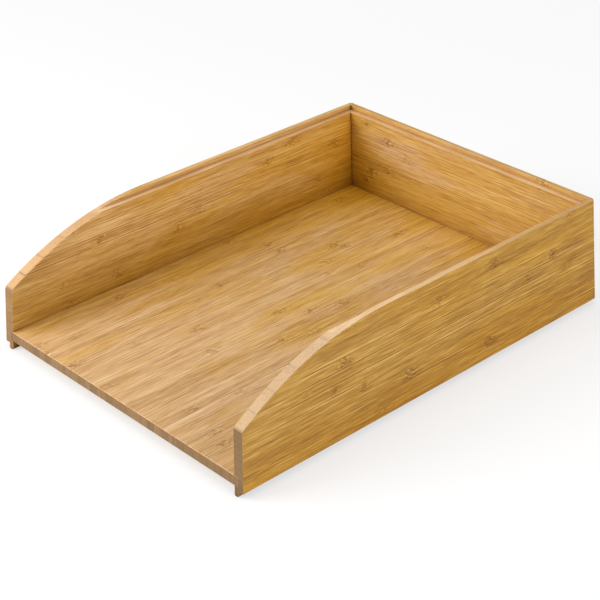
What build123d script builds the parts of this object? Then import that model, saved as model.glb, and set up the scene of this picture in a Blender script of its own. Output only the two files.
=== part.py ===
"""Stackable letter tray for A4 and foolscap paper, glued up from four bamboo panels.

The tray is open at the top and at the front (-Y).  The origin is the centre of its
footprint on the desk, +X runs to the right, +Y to the back and +Z up.  Millimetres.
"""
from build123d import *
import os

# Overall size
tray_width = 254
tray_depth = 340
tray_height = 76.5

# Panels
wall_thickness = 8.5
base_thickness = 6.5
base_underside = 6
housing_depth = 3

# Front of the two side panels: a straight upright, then one arc that runs into the top edge
front_height = 42.3
curve_length = 121.5
front_corner_round = 4

# Stacking step: the tongue under each wall drops into the rabbet of the tray below
tongue_height = 4
tongue_inset = 4.5
rim_width = 4
rabbet_depth = 3.8

# Softened edges
edge_round = 0.6
tongue_round = 1.4
corner_round = 3.5

# Places worked out from the sizes above
left = -tray_width / 2
front = -tray_depth / 2
back = tray_depth / 2
ledge_height = tray_height - rabbet_depth
housing_reach = wall_thickness - housing_depth

# A panel's end is mitred along the diagonal between the tray's outer and inner corner
left_mitre = Plane(origin=(left, back, 0), z_dir=(1, 1, 0))
right_mitre = Plane(origin=(-left, back, 0), z_dir=(-1, 1, 0))


def wall_section():
    """Section through a wall: x runs inward from its outer face and y up from the desk."""
    with BuildSketch() as section:
        Polygon(
            (0, tongue_height),
            (0, tray_height),
            (rim_width, tray_height),
            (rim_width, ledge_height),
            (wall_thickness, ledge_height),
            (wall_thickness, 0),
            (tongue_inset, 0),
            (tongue_inset, tongue_height),
            align=None,
        )
        corners = section.vertices()
        fillet(corners.group_by(Axis.Y)[0], tongue_round)
        shoulder = corners.sort_by_distance((0, tongue_height))[0]
        rim = corners.sort_by_distance((rim_width, tray_height))[0]
        ledge = corners.sort_by_distance((wall_thickness, ledge_height))[0]
        fillet([shoulder, rim, ledge], edge_round)
    return section.sketch


# Base panel: a plain board with a softened front edge
with BuildPart() as base_panel:
    with BuildSketch(Plane.XY.offset(base_underside)):
        with Locations((0, front)):
            Rectangle(
                tray_width - 2 * housing_reach,
                tray_depth - housing_reach,
                align=(Align.CENTER, Align.MIN),
            )
    extrude(amount=base_thickness)
    front_edges = base_panel.edges().filter_by(Axis.X).group_by(Axis.Y)[0]
    fillet(front_edges, edge_round)

# Left side panel: the curved outline, then the stepped section, the housing and the mitre
with BuildPart() as left_side_panel:
    with BuildSketch(Plane.YZ.offset(left)) as outline:
        with BuildLine():
            Line((front, 0), (front, front_height))
            TangentArc((front + curve_length, tray_height), (front, front_height), tangent=(-1, 0))
            Line((front + curve_length, tray_height), (back, tray_height))
            Line((back, tray_height), (back, 0))
            Line((back, 0), (front, 0))
        make_face()
        front_corner = outline.vertices().sort_by_distance((front, front_height))[0]
        fillet(front_corner, front_corner_round)
    extrude(amount=wall_thickness)
    rear_corner = left_side_panel.edges().filter_by(Axis.Z).sort_by_distance((left, back, 0))[0]
    fillet(rear_corner, corner_round)
    rim_edges = left_side_panel.edges().filter_by(Axis.X, reverse=True)
    rim_edges = rim_edges.filter_by_position(Axis.Z, tongue_height, tray_height)
    fillet(rim_edges.filter_by_position(Axis.Y, front, back - wall_thickness), edge_round)
    with BuildSketch(Plane(origin=(left, 0, 0), x_dir=(1, 0, 0), z_dir=(0, -1, 0))):
        add(wall_section())
    extrude(amount=tray_depth, both=True, mode=Mode.INTERSECT)
    with BuildSketch(Plane.XY.offset(base_underside)):
        with Locations((left + housing_reach, front)):
            Rectangle(housing_depth, tray_depth - housing_reach, align=Align.MIN)
    extrude(amount=base_thickness, mode=Mode.SUBTRACT)
    split(bisect_by=left_mitre, keep=Keep.BOTTOM)

# Right side panel: the left one's mirror image
with BuildPart() as right_side_panel:
    mirror(left_side_panel.part, about=Plane.YZ)

# Back panel: the same stepped section, housing and mitres across the full width
with BuildPart() as back_panel:
    with BuildSketch(Plane.XZ.offset(-back)):
        Rectangle(tray_width, tray_height, align=(Align.CENTER, Align.MIN))
    extrude(amount=wall_thickness)
    rear_corners = back_panel.edges().filter_by(Axis.Z).group_by(Axis.Y)[-1]
    fillet(rear_corners, corner_round)
    top_edges = back_panel.faces().sort_by(Axis.Z)[-1].edges().filter_by(Axis.X)
    fillet(top_edges.sort_by(Axis.Y)[-1], edge_round)
    with BuildSketch(Plane(origin=(0, back, 0), x_dir=(0, -1, 0), z_dir=(-1, 0, 0))):
        add(wall_section())
    extrude(amount=tray_width, both=True, mode=Mode.INTERSECT)
    with BuildSketch(Plane.XY.offset(base_underside)):
        with Locations((0, back - wall_thickness)):
            Rectangle(
                tray_width - 2 * housing_reach,
                housing_depth,
                align=(Align.CENTER, Align.MIN),
            )
    extrude(amount=base_thickness, mode=Mode.SUBTRACT)
    split(bisect_by=left_mitre, keep=Keep.TOP)
    split(bisect_by=right_mitre, keep=Keep.TOP)

base_panel.part.label = "base_panel"
left_side_panel.part.label = "left_side_panel"
right_side_panel.part.label = "right_side_panel"
back_panel.part.label = "back_panel"

os.makedirs("parts", exist_ok=True)
for panel in (base_panel, left_side_panel, right_side_panel, back_panel):
    export_step(panel.part, f"parts/{panel.part.label}.step")
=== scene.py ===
"""Bamboo letter tray: wood materials, floor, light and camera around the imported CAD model."""

import math

import bpy
from mathutils import Matrix, Vector


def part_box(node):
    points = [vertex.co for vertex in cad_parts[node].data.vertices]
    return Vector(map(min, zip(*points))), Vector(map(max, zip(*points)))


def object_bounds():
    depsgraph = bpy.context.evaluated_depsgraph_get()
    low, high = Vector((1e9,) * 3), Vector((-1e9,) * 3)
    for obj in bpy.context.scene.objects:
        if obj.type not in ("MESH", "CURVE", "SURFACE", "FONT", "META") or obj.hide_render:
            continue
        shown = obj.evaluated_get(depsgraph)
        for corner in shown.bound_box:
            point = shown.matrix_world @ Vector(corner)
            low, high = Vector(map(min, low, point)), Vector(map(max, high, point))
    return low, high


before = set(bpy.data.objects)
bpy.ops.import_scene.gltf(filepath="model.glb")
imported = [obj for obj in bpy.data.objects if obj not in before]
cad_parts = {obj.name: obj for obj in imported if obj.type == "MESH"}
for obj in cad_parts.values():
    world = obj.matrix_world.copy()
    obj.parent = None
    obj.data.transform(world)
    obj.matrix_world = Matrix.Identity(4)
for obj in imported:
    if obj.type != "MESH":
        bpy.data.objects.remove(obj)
cad_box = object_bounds()

# The wood's pattern is laid out in millimetres
MILLIMETRES = 1000  # per metre
FRONT, BACK = (corner.y * MILLIMETRES for corner in cad_box)
SIDE = cad_box[1].x * MILLIMETRES
STRIP = 7.5  # width of a bamboo strip
FIBRE = 0.62  # distance between the fibres
LEDGE = 72.7  # height of the stacking ledge above the floor

# Bamboo colours, dark to light
AMBER = ((0.20, 0.080, 0.007), (0.435, 0.228, 0.032), (0.66, 0.43, 0.14))
HONEY = ((0.33, 0.150, 0.036), (0.63, 0.370, 0.125), (0.84, 0.60, 0.31))
PEACH = ((0.30, 0.145, 0.045), (0.58, 0.345, 0.150), (0.78, 0.56, 0.33))
STRAW = ((0.31, 0.155, 0.055), (0.59, 0.362, 0.180), (0.79, 0.58, 0.38))
# No painted light on the end grain
NO_END_GRAIN_LIGHT = ((1, 1, 1), (1, 1, 1))

# Viewpoint: metres from the centre of the footprint, and degrees
VIEWPOINT = Vector((0.983, -0.8952, 0.6949))
HEADING = 47.33  # turn to the left of straight back
TILT = -2.57
ROLL = -1.14
SENSOR = 36
FOCAL_LENGTH = 114.145
RISE = -1.4409  # lens shift that keeps the uprights upright, as a share of the frame


class Wire:
    """A number that flows through a material's nodes, so that a formula reads as one."""

    def __init__(self, graph, socket):
        self.graph = graph
        self.socket = socket

    def math(self, operation, *others):
        return self.graph.math(operation, self, *others)

    def __add__(self, other):
        return self.math("ADD", other)

    def __sub__(self, other):
        return self.math("SUBTRACT", other)

    def __mul__(self, other):
        return self.math("MULTIPLY", other)

    def __truediv__(self, other):
        return self.math("DIVIDE", other)

    def __rsub__(self, other):
        return self.graph.math("SUBTRACT", other, self)

    __radd__ = __add__

    def floor(self):
        return self.math("FLOOR")

    def fraction(self):
        return self.math("FRACT")

    def size(self):
        return self.math("ABSOLUTE")

    def bell(self, width):
        """1 where the number is 0, falling off smoothly over about width."""
        ratio = self / width
        return self.graph.math("EXPONENT", ratio * ratio * -1)

    def step(self, low, high, start=0.0, end=1.0):
        """Rises smoothly from start to end as the number goes from low to high."""
        made = self.graph.node(
            "ShaderNodeMapRange",
            {"Value": self, "From Min": low, "From Max": high, "To Min": start, "To Max": end},
            interpolation_type="SMOOTHSTEP",
        )
        return Wire(self.graph, made.outputs["Result"])


class Graph:
    """The nodes of one material."""

    def __init__(self, name):
        self.material = bpy.data.materials.new(name)
        self.material.use_nodes = True
        self.nodes = self.material.node_tree.nodes
        self.links = self.material.node_tree.links
        self.nodes.clear()

    def feed(self, socket, value):
        if isinstance(value, Wire):
            self.links.new(value.socket, socket)
        elif isinstance(value, bpy.types.NodeSocket):
            self.links.new(value, socket)
        else:
            socket.default_value = value

    def node(self, kind, inputs=None, **settings):
        made = self.nodes.new(kind)
        for name, value in settings.items():
            setattr(made, name, value)
        for name, value in (inputs or {}).items():
            self.feed(made.inputs[name], value)
        return made

    def math(self, operation, *values):
        made = self.nodes.new("ShaderNodeMath")
        made.operation = operation
        for socket, value in zip(made.inputs, values):
            self.feed(socket, value)
        return Wire(self, made.outputs[0])

    def vector(self, x, y, z):
        return self.node("ShaderNodeCombineXYZ", {"X": x, "Y": y, "Z": z}).outputs[0]

    def noise(self, place, detail):
        """Noise from -0.5 to 0.5 whose features are about one unit across."""
        made = self.node(
            "ShaderNodeTexNoise",
            {"Vector": place, "Scale": 1.0, "Detail": detail, "Roughness": 0.5},
        )
        return Wire(self, made.outputs[0]) - 0.5

    def dice(self, number):
        """Three random numbers from 0 to 1 that depend only on number."""
        made = self.node("ShaderNodeTexWhiteNoise", {"W": number}, noise_dimensions="1D")
        parts = self.node("ShaderNodeSeparateColor", {"Color": made.outputs["Color"]})
        return [Wire(self, socket) for socket in parts.outputs]

    def blend(self, share, first, second, mode="MIX"):
        made = self.nodes.new("ShaderNodeMix")
        made.data_type = "RGBA"
        made.blend_type = mode
        self.feed(made.inputs[0], share)
        self.feed(made.inputs[6], first)
        self.feed(made.inputs[7], second)
        return made.outputs[2]

    def mix(self, share, first, second):
        """Shader between two shader nodes."""
        made = self.nodes.new("ShaderNodeMixShader")
        self.feed(made.inputs[0], share)
        self.feed(made.inputs[1], first.outputs[0])
        self.feed(made.inputs[2], second.outputs[0])
        return made

    def ramp(self, number, *stops):
        """Colour that runs through the stops, each (place from 0 to 1, colour)."""
        made = self.node("ShaderNodeValToRGB", {"Fac": number})
        elements = made.color_ramp.elements
        while len(elements) < len(stops):
            elements.new(0.5)
        for element, (place, colour) in zip(elements, stops):
            element.position = place
            element.color = (*colour, 1)
        return made.outputs["Color"]


class Board:
    """Places in a laminated board, in millimetres, for the nodes of its material."""

    def __init__(self, name, node, axes, first_joint, seed):
        along, across, through = axes
        graph = self.graph = Graph(name)
        place = graph.node("ShaderNodeTexCoord").outputs["Object"]
        parts = graph.node("ShaderNodeSeparateXYZ", {"Vector": place})
        self.axes = {axis: Wire(graph, parts.outputs[axis]) * MILLIMETRES for axis in "XYZ"}
        self.along, self.across, self.through = (self.axes[axis] for axis in axes)
        self.wall = through != "Z"
        self.seed = seed

        # Strips side by side across the board, each with a noise of its own
        self.lane = (self.across - first_joint) / STRIP
        self.strip = self.lane.floor()
        self.inside = self.lane - self.strip
        self.offset = self.strip * 13.7 + seed

        # How far the surface is from the board's two broad faces, and how squarely it cuts the grain
        low, high = (corner["XYZ".index(through)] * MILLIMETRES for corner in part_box(node))
        self.depth = (high - low) / 2 - (self.through - (low + high) / 2).size()
        normal = graph.node("ShaderNodeNewGeometry").outputs["Normal"]
        slope = graph.node("ShaderNodeSeparateXYZ", {"Vector": normal})
        self.normal = {axis: Wire(graph, slope.outputs[axis]) for axis in "XYZ"}
        self.facing = self.normal[along].size()

        # 1 on the faces that look into the tray
        self.inward = (self.normal[through] * self.through).step(-20, 20, 1, 0)

        # 1 on the narrow edges; the rounds of the rear corners count as faces
        round_corner = (self.normal["X"] * self.normal["Y"]).size().step(0.02, 0.1)
        rear = self.axes["Y"].step(BACK - 20, BACK - 10)
        self.edge = self.depth.step(0.1, 0.4) * (1 - round_corner * rear)

    def fibres(self, length, width, detail=2.0, across=None):
        """Noise drawn out along the grain, with features of that length and width."""
        across = self.across if across is None else across
        spot = self.graph.vector(
            self.along / length, across / width + self.offset, self.through / width
        )
        return self.graph.noise(spot, detail)

    def hollow(self, reach):
        """1 out in the open, less where other surfaces stand within reach, in metres."""
        made = self.graph.node("ShaderNodeAmbientOcclusion", {"Distance": reach}, samples=6)
        return Wire(self.graph, made.outputs["AO"])

    def clouds(self, length, width, number=0.0):
        """Soft noise that ignores the strips; each number gives another one."""
        spot = self.graph.vector(self.along / length, self.across / width, self.seed + number)
        return self.graph.noise(spot, 1)


def knuckles(board):
    """Every 200 to 260 mm along a strip its fibres knot: a soft halo, dashes and a pale eye.

    Gives how far a knuckle moves the tone, its halo, and the ripple of the fibres around it.
    """
    graph = board.graph
    luck, phase, force = graph.dice(board.strip + board.seed + 0.5)
    spacing = luck * 60 + 200
    ripple = board.fibres(4, 2.2)
    from_knot = ((board.along / spacing + phase + luck * 7).fraction() - 0.5) * spacing
    from_knot = from_knot + ripple * 9
    middle = (board.inside - 0.5).size().step(0.25, 0.55, 1, 0)
    dashes = board.fibres(3.2, 0.75, 1)
    force = force + 0.4
    halo = from_knot.bell(6.5) * (middle * 0.6 + 0.4) * force
    line = from_knot.bell(1.1) * (dashes * 4 + 0.5) * force
    eye = (from_knot - 2.4).bell(1.1) * (board.inside - 0.5).bell(0.2) * force
    tone = eye * 0.18 - halo * 0.15 - line * 0.18 + halo * dashes * 2.0
    return tone, halo, ripple


def joints(board):
    """Glue lines between the strips, stronger in some places than in others, and their rims."""
    graph = board.graph
    from_joint = (0.5 - (board.inside - 0.5).size()) * STRIP
    number = (board.lane + 0.5).floor() + board.seed * 3
    luck = graph.dice(number)[0]
    wander = graph.noise(graph.vector(board.along / 45, number * 5.3, board.seed), 1)
    strength = (luck + wander * 2.6).step(0.2, 0.95, 0.1, 1)
    return from_joint.step(0.1, 0.45, 1, 0) * strength, (from_joint - 0.8).bell(0.35) * strength


def end_grain(board, joint, shade):
    """Colour of a surface that cuts the fibres, which show as dots, and where the dots are."""
    graph = board.graph
    across = board.across / FIBRE
    spot = graph.vector(board.along / 8, across + board.offset, board.through / FIBRE)
    cells = graph.node("ShaderNodeTexVoronoi", {"Vector": spot, "Scale": 1.0})
    crowding = board.inside * 0.16 + 0.24
    distance = Wire(graph, cells.outputs["Distance"])
    dots = (distance - crowding).step(-0.12, 0.1, 1, 0)
    square_on = board.facing.step(0.4, 1.0)
    patches = board.clouds(14, 2.4) * 0.5 + board.fibres(9, 1.1) * 0.5
    colour = graph.ramp(
        square_on * 0.7 + (shade - 0.5) * 0.12 + patches * 0.5 + 0.1,
        (0.0, (0.60, 0.40, 0.225)),
        (0.25, (0.54, 0.35, 0.185)),
        (0.8, (0.235, 0.132, 0.050)),
        (1.0, (0.165, 0.087, 0.030)),
    )
    colour = graph.blend(dots * 0.38, colour, (0.22, 0.11, 0.04, 1))
    return graph.blend(joint * 0.45, colour, (0.14, 0.07, 0.03, 1)), dots


class Grain:
    """The pattern of a board's fibres, knuckles and glue lines."""

    def __init__(self, board):
        self.shade, leaning, _ = board.graph.dice(board.strip + board.seed)
        self.knot, halo, ripple = knuckles(board)
        self.joint, beside_joint = joints(board)

        # Fibres, bent a little where they pass a knuckle
        bent = board.across + halo * ripple * 5
        self.streaks = board.fibres(60, 1.9, 3, bent)
        self.threads = board.fibres(22, 0.85, 2, bent)
        self.hairs = board.fibres(9, 0.4, 2, bent)
        dark_fibre = board.fibres(40, 0.62, 1, bent).step(0.08, 0.24)
        pale_fibre = board.fibres(28, 0.7, 1, bent + 50).step(0.1, 0.26)

        # From 0, the darkest, to 1, the palest
        tone = 0.5 + (self.shade - 0.5) * 0.16 + (board.inside - 0.5) * (leaning - 0.35) * 0.2
        tone = tone + self.streaks * 0.72 + self.threads * 0.95 + self.hairs * 0.8
        tone = tone - dark_fibre * 0.22 + pale_fibre * 0.16
        self.tone = tone + self.knot - self.joint * 0.4 + beside_joint * 0.24


def tinted(graph, share, colour, tint):
    """Colour multiplied by tint, in that share."""
    return graph.blend(share, colour, graph.blend(1.0, colour, (*tint, 1), "MULTIPLY"))


def broad_face(board, grain, tones, low_front_shade_strength):
    """Colour of the lacquered faces that show the fibres lengthwise."""
    graph = board.graph
    face = graph.ramp(grain.tone, *zip((0.0, 0.5, 1.0), tones))

    # Slow drifts of hue, which move the yellow more than the brightness. Deeper to the back, which
    # is a painted sheen: the front is kept paler, as if it reflected white light
    hue_drift_and_sheen = board.clouds(90, 22) + board.clouds(30, 5, 9.0) * 0.5 + board.axes["Y"] / 900
    face = tinted(graph, hue_drift_and_sheen.step(-0.22, 0.28), face, (0.97, 0.9, 0.45))

    # Painted shade: the colour is a deeper, more saturated amber towards the inner corners, where
    # less light reaches
    corner = board.hollow(0.06).step(0.3, 0.9, 1, 0) * (1 - board.edge)
    face = tinted(graph, corner, face, (0.95, 0.82, 0.12))
    if not board.wall:
        return face

    # Painted shade: inside the tray the walls are deeper in colour low down and towards the front
    low = board.axes["Z"].step(8, 55, 1, 0)
    ahead = board.axes["Y"].step(FRONT, FRONT + 80, 0.8, 0)
    painted_low_front_shade = low.math("MAXIMUM", ahead) * board.inward * low_front_shade_strength
    return tinted(graph, painted_low_front_shade, face, (0.68, 0.63, 0.50))


def with_edges(board, grain, face, sanded, end_grain_light):
    """Colour of the faces and the narrow edges, the end grain's dots, and where end grain is.

    Edges show end grain where they cut the fibres, and paler sanded wood where they don't; the
    stacking ledge is made pale as a painted highlight.
    """
    graph = board.graph
    end, dots = end_grain(board, grain.joint, grain.shade)
    painted_end_tints = [(*tint, 1) for tint in end_grain_light]
    # Painted light: each board's end grain is made lighter or darker by tints of its own, as the
    # light falls on its front
    end = graph.blend(1.0, end, graph.blend(board.facing.step(0.85, 0.98), *painted_end_tints), "MULTIPLY")
    rubbed = board.clouds(45, 3, 2.0) + grain.threads * 0.8 + sanded * 0.4 + 0.35
    pale = graph.ramp(rubbed, (0.1, (0.55, 0.29, 0.11)), (0.9, (0.84, 0.60, 0.36)))
    handled = board.axes["Y"].step(-50, 110, 1, 0.4)
    above_tongue = board.axes["Z"].step(4, 9)
    # Painted highlight: the stacking ledge is made pale as well
    ledge = (board.axes["Z"] - LEDGE).size().step(0.3, 0.8, 1, 0)
    lengthwise = graph.blend(handled * sanded * above_tongue + ledge * 0.8, face, pale)
    cut = board.facing.step(0.02, 0.3)
    colour = graph.blend(board.edge, face, graph.blend(cut, lengthwise, end))
    return colour, dots, cut * board.edge


def with_creases(board, colour):
    """Colour with painted shade in the creases, and where the mitres' glue lines are.

    Walls also have painted shade by the tongue, and the glue lines.
    """
    graph = board.graph
    # Painted shade: darker, browner colour in the creases
    painted_crease_shade = board.hollow(0.0025).step(0.5, 0.85, 1, 0)
    colour = tinted(graph, painted_crease_shade * 0.8, colour, (0.62, 0.42, 0.18))
    if not board.wall:
        return colour, 0.0
    # Painted shade where other surfaces crowd close on a wall, such as by and under the tongue
    painted_tongue_shade = board.hollow(0.03).step(0.2, 0.5, 1, 0)
    colour = tinted(graph, painted_tongue_shade, colour, (0.5, 0.38, 0.24))
    from_mitre = (SIDE - board.axes["X"].size()) - (BACK - board.axes["Y"])
    seam = from_mitre.size().step(0.15, 0.5, 1, 0)
    return graph.blend(seam * 0.6, colour, (0.13, 0.06, 0.015, 1)), seam


def rubbed_and_highlit_edges(board, grain):
    """1 on outer edges that are made paler: partly rubbed wear, partly a painted highlight along the
    rounded edges.
    """
    graph = board.graph
    rounded = graph.node("ShaderNodeBevel", {"Radius": 0.0011}, samples=4)
    true_normal = graph.node("ShaderNodeNewGeometry").outputs["Normal"]
    turn = graph.node("ShaderNodeVectorMath", operation="DOT_PRODUCT")
    graph.feed(turn.inputs[0], rounded.outputs["Normal"])
    graph.feed(turn.inputs[1], true_normal)
    rubbed_and_highlit = Wire(graph, turn.outputs["Value"]).step(0.72, 0.995, 1, 0)
    return rubbed_and_highlit * (board.clouds(12, 3, 4.0) + grain.streaks + 0.6).step(0.1, 0.8)


def bamboo(name, node, axes, first_joint, seed, tones, sanded, end_grain_light=NO_END_GRAIN_LIGHT, low_front_shade_strength=1.0):
    """Laminated bamboo with a thin satin lacquer, for the panel called node.

    axes: those along, across and through the board's grain
    first_joint: where one of the glue lines lies across it, in millimetres
    seed: any number; each gives the board a pattern of its own
    tones: its dark, middle and pale colours
    sanded: how pale the narrow edges along the grain are, from 0 to 1
    end_grain_light: painted light, what the end grain's colour is multiplied by, where it is cut at
    a slant and squarely
    low_front_shade_strength: how much painted shade deepens the inner face of a wall low down and
    towards the front, from 0 to 1
    """
    board = Board(name, node, axes, first_joint, seed)
    graph = board.graph
    grain = Grain(board)
    face = broad_face(board, grain, tones, low_front_shade_strength)
    colour, dots, cut = with_edges(board, grain, face, sanded, end_grain_light)
    colour, seam = with_creases(board, colour)
    rubbed_and_highlit = rubbed_and_highlit_edges(board, grain)
    # Paler rounded edges: partly rubbed wear, partly painted highlight
    colour = graph.blend(rubbed_and_highlit * (0.4 - cut * 0.2), colour, (0.84, 0.60, 0.34, 1))

    height = grain.streaks * 0.7 + grain.threads * 0.6 + grain.hairs * 0.4
    height = height + grain.knot * 1.2 - grain.joint * 0.9 - dots * cut * 0.5 - seam * 2.0
    bump = graph.node("ShaderNodeBump", {"Strength": 0.7, "Distance": 0.00008, "Height": height})
    roughness = grain.threads * 0.2 + grain.hairs * 0.15 + cut * 0.12 + rubbed_and_highlit * 0.12 + 0.44
    surface = graph.node(
        "ShaderNodeBsdfPrincipled",
        {
            "Base Color": colour,
            "Roughness": roughness,
            "IOR": 1.5,
            "Specular IOR Level": 0.32,
            "Normal": bump.outputs["Normal"],
        },
    )
    graph.node("ShaderNodeOutputMaterial", {"Surface": surface.outputs["BSDF"]})
    return graph.material


def dress(node, material):
    """Gives a CAD panel its wood."""
    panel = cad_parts[node]
    panel.data.materials.clear()
    panel.data.materials.append(material)


def floor_material(camera):
    """Pale matte floor that fades to white far off, and is clear while the camera is below it."""
    graph = Graph("studio_floor")
    matte = graph.node("ShaderNodeBsdfDiffuse", {"Color": (0.9, 0.9, 0.9, 1)})
    glow = graph.node("ShaderNodeEmission", {"Color": (1, 1, 1, 1), "Strength": 1.0})
    clear = graph.node("ShaderNodeBsdfTransparent")
    place = graph.node("ShaderNodeTexCoord").outputs["Object"]
    away = graph.node("ShaderNodeVectorMath", {"Vector": place}, operation="LENGTH")
    far = Wire(graph, away.outputs["Value"]).step(0.2, 1.5, 0.6, 1)
    seen = Wire(graph, graph.node("ShaderNodeLightPath").outputs["Is Camera Ray"])
    pale = graph.mix(far * seen, matte, glow)
    below = graph.node("ShaderNodeValue").outputs[0]
    switch = below.driver_add("default_value").driver
    height = switch.variables.new()
    height.name = "height"
    height.type = "TRANSFORMS"
    height.targets[0].id = camera
    height.targets[0].transform_type = "LOC_Z"
    height.targets[0].transform_space = "WORLD_SPACE"
    switch.expression = "1 if height < 0 else 0"
    surface = graph.mix(below, pale, clear)
    graph.node("ShaderNodeOutputMaterial", {"Surface": surface.outputs[0]})
    return graph.material


def lay_floor(height, camera):
    """Floor far larger than the view."""
    reach = 12
    corners = [(-reach, -reach), (reach, -reach), (reach, reach), (-reach, reach)]
    mesh = bpy.data.meshes.new("floor")
    mesh.from_pydata([(x, y, height) for x, y in corners], [], [(0, 1, 2, 3)])
    mesh.materials.append(floor_material(camera))
    floor = bpy.data.objects.new("floor", mesh)
    bpy.context.scene.collection.objects.link(floor)


def softbox(name, place, target, width, power):
    """Square area light that points from place to target."""
    light = bpy.data.lights.new(name, "AREA")
    light.size = width
    light.energy = power
    lamp = bpy.data.objects.new(name, light)
    lamp.location = place
    lamp.rotation_mode = "QUATERNION"
    lamp.rotation_quaternion = (target - place).to_track_quat("-Z", "Y")
    bpy.context.scene.collection.objects.link(lamp)


def light_studio(centre):
    """Soft key from the front left, fill from the right and from above, in a bright room."""
    world = bpy.data.worlds.new("studio")
    world.use_nodes = True
    nodes = world.node_tree.nodes
    strength = nodes["Background"].inputs["Strength"]
    nodes["Background"].inputs["Color"].default_value = (1, 1, 1, 1)

    # White to the camera and dimmer as a light
    seen = nodes.new("ShaderNodeLightPath").outputs["Is Camera Ray"]
    level = nodes.new("ShaderNodeMapRange")
    level.inputs["To Min"].default_value = 0.42
    level.inputs["To Max"].default_value = 1
    world.node_tree.links.new(seen, level.inputs["Value"])
    world.node_tree.links.new(level.outputs["Result"], strength)
    bpy.context.scene.world = world
    softbox("key", centre + Vector((-0.7, -1.1, 0.6)), centre, 1.0, 20.5)
    softbox("fill", centre + Vector((1.6, 0.1, 0.7)), centre, 1.2, 15.5)
    softbox("overhead", centre + Vector((0, 0, 1.9)), centre, 1.4, 10)


def place_camera():
    """Camera at the viewpoint; its lens shift applies from there alone."""
    data = bpy.data.cameras.new("camera")
    data.sensor_width = SENSOR
    data.lens = FOCAL_LENGTH
    data.clip_start = 0.01
    data.clip_end = 100
    camera = bpy.data.objects.new("camera", data)
    marker = bpy.data.objects.new("viewpoint", None)
    for thing in (camera, marker):
        bpy.context.scene.collection.objects.link(thing)
    turn = Matrix.Rotation(math.radians(HEADING), 3, "Z")
    lean = Matrix.Rotation(math.radians(90 + TILT), 3, "X")
    roll = Matrix.Rotation(math.radians(ROLL), 3, "Z")
    camera.matrix_world = Matrix.Translation(VIEWPOINT) @ (turn @ lean @ roll).to_4x4()
    marker.location = VIEWPOINT
    shift = data.driver_add("shift_y").driver
    moved = shift.variables.new()
    moved.name = "moved"
    moved.type = "LOC_DIFF"
    moved.targets[0].id = camera
    moved.targets[1].id = marker
    shift.expression = f"{RISE} if moved < 0.001 else 0"
    bpy.context.scene.camera = camera
    return camera


lowest, highest = cad_box
# The end-grain tints are painted light: the left panel's front is lighter and the right panel's
# darker, as the light falls on them
BOARDS = {
    "left_side_panel": {
        "axes": "YZX",
        "first_joint": 11.5,
        "seed": 3.1,
        "tones": HONEY,
        "sanded": 0.25,
        "end_grain_light": ((1.05, 0.95, 0.83), (1.1, 1.05, 0.92)),
    },
    "right_side_panel": {
        "axes": "YZX",
        "first_joint": 11.5,
        "seed": 41.7,
        "tones": AMBER,
        "sanded": 0.9,
        "end_grain_light": ((0.98, 0.98, 0.98), (0.77, 0.76, 0.66)),
    },
    "back_panel": {
        "axes": "XZY",
        "first_joint": 11.5,
        "seed": 77.2,
        "tones": STRAW,
        "sanded": 0.1,
        # Painted shade on the back's inner face, at a little under half strength
        "low_front_shade_strength": 0.45,
    },
    "base_panel": {
        "axes": "YXZ",
        "first_joint": 3.0,
        "seed": 120.4,
        "tones": PEACH,
        "sanded": 0.2,
        "end_grain_light": ((1, 1, 1), (0.95, 0.93, 0.9)),
    },
}
for node, wood in BOARDS.items():
    dress(node, bamboo(f"bamboo_{node}", node, **wood))
lay_floor(lowest.z, place_camera())
light_studio((lowest + highest) / 2)
bpy.context.scene.view_settings.view_transform = "Standard"
